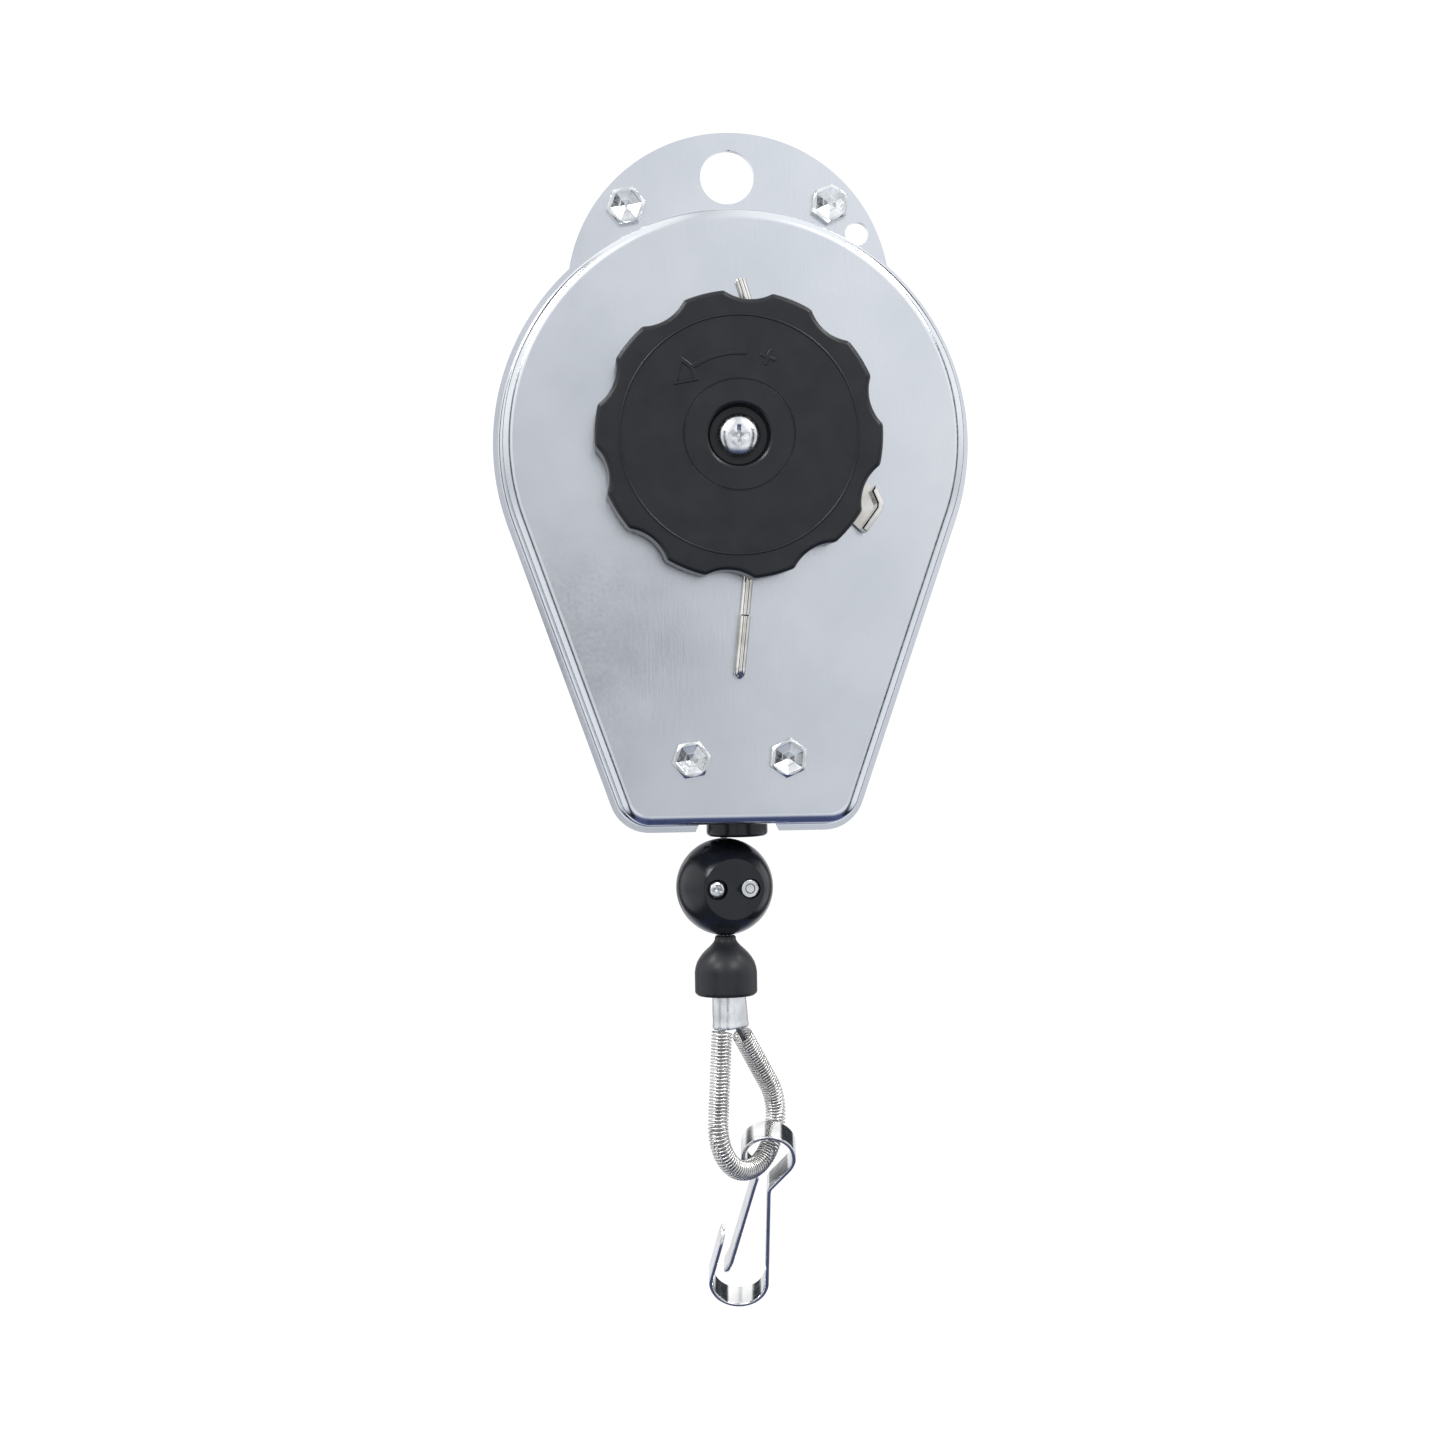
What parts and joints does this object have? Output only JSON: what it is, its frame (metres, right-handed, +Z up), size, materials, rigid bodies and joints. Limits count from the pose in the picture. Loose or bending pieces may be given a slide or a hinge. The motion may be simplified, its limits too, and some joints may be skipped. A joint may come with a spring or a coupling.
{
  "type": "tool balancer",
  "caption": "Spring tool balancer: drum-shaped steel case with hanging ear, tension knob, stop ball, guarded rope loop and snap hook.",
  "frame": {"origin": "centre of the suspension hole, in the joint between the two case halves", "axes": "+Z up along the hanging balancer, -Y out of the case towards the knob, +X to the right when facing the knob"},
  "size_m": [0.1392, 0.0915, 0.3538],
  "materials": {
    "sheet_steel": "satin zinc-plated sheet",
    "zinc_steel": "bright zinc plate",
    "sintered_bronze": "oiled sintered bronze",
    "black_plastic": "moulded, semi-gloss",
    "black_cap": "moulded, matt",
    "drum_alloy": "as cast and turned",
    "spring_steel": "bright spring steel",
    "machined_steel": "machined",
    "bent_steel": "nickel plate",
    "wire_rope": "galvanised wire rope",
    "ferrule_alloy": "pressed sleeve",
    "nickel_strip": "polished nickel plate"
  },
  "bodies": {
    "housing": {"front_cover": "sheet_steel", "rear_cover": "sheet_steel", "front_bush": "sintered_bronze", "rear_bush": "sintered_bronze", "ear_bolts": "zinc_steel", "ear_nuts": "zinc_steel", "case_bolts": "zinc_steel", "case_nuts": "zinc_steel", "case_spacers": "zinc_steel", "cable_guide": "black_plastic", "pawl_pin": "zinc_steel", "pawl_spring": "spring_steel", "wire_saddle": "sheet_steel", "saddle_rivets": "zinc_steel", "cable_run": "wire_rope"},
    "drum": {"cable_drum": "drum_alloy", "drum_bush": "sintered_bronze", "spring_lid": "drum_alloy", "lid_screws": "zinc_steel", "main_spring": "spring_steel", "cable_turns": "wire_rope"},
    "arbor": {"arbor": "machined_steel", "ratchet_wheel": "machined_steel", "knob": "black_plastic", "knob_screw": "zinc_steel", "retaining_ring": "zinc_steel"},
    "pawl": {"pawl": "bent_steel"},
    "release_wire": {"release_wire": "bent_steel"},
    "load": {"ball_front": "black_plastic", "ball_rear": "black_plastic", "ball_screws": "zinc_steel", "ball_nuts": "zinc_steel", "rope_cap": "black_cap", "ferrule": "ferrule_alloy", "load_cable": "wire_rope", "loop_guard": "spring_steel", "cable_tail": "wire_rope"},
    "snap_hook": {"snap_hook": "nickel_strip"},
    "hook_gate": {"hook_gate": "nickel_strip"}
  },
  "joints": [
    {"name": "cable_pull", "type": "slide", "parent": "housing", "child": "load", "axis": [0, 0, -1], "range_m": [0, 1.3], "stiffness_N_per_m": 11.5, "springref_m": -1.3, "deforming": ["cable_tail"]},
    {"name": "drum_spin", "type": "hinge", "parent": "housing", "child": "drum", "pos_m": [0, 0, -0.078], "axis": [0, 1, 0], "range_deg": [-1484, 0], "deforming": ["main_spring"]},
    {"name": "knob_turn", "type": "hinge", "parent": "housing", "child": "arbor", "pos_m": [0, 0, -0.078], "axis": [0, 1, 0], "continuous": true},
    {"name": "pawl_release", "type": "hinge", "parent": "housing", "child": "pawl", "pos_m": [0.022, -0.0241, -0.092], "axis": [0, 1, 0], "range_deg": [0, 14], "stiffness_Nm_per_rad": 0.05, "springref_deg": -22.92, "deforming": ["pawl_spring"]},
    {"name": "release_wire_swing", "type": "hinge", "parent": "housing", "child": "release_wire", "pos_m": [0.0048, -0.0219, -0.102], "axis": [0, 1, 0], "range_deg": [0, 10.8]},
    {"name": "hook_swing", "type": "hinge", "parent": "load", "child": "snap_hook", "pos_m": [0.00883, 0.01441, -0.28777], "axis": [0.3139, 0.7201, 0.6188], "range_deg": [-45, 60]},
    {"name": "hook_gate", "type": "hinge", "parent": "snap_hook", "child": "hook_gate", "pos_m": [0.00558, 0.01835, -0.29457], "axis": [-0.0616, -0.8808, -0.4695], "range_deg": [0, 10], "stiffness_Nm_per_rad": 0.3, "springref_deg": -2.86}
  ],
  "couplings": [
    {"joint": "drum_spin", "follows": "cable_pull", "rad_per_m": -19.92},
    {"joint": "release_wire_swing", "follows": "pawl_release", "ratio": 0.77}
  ]
}
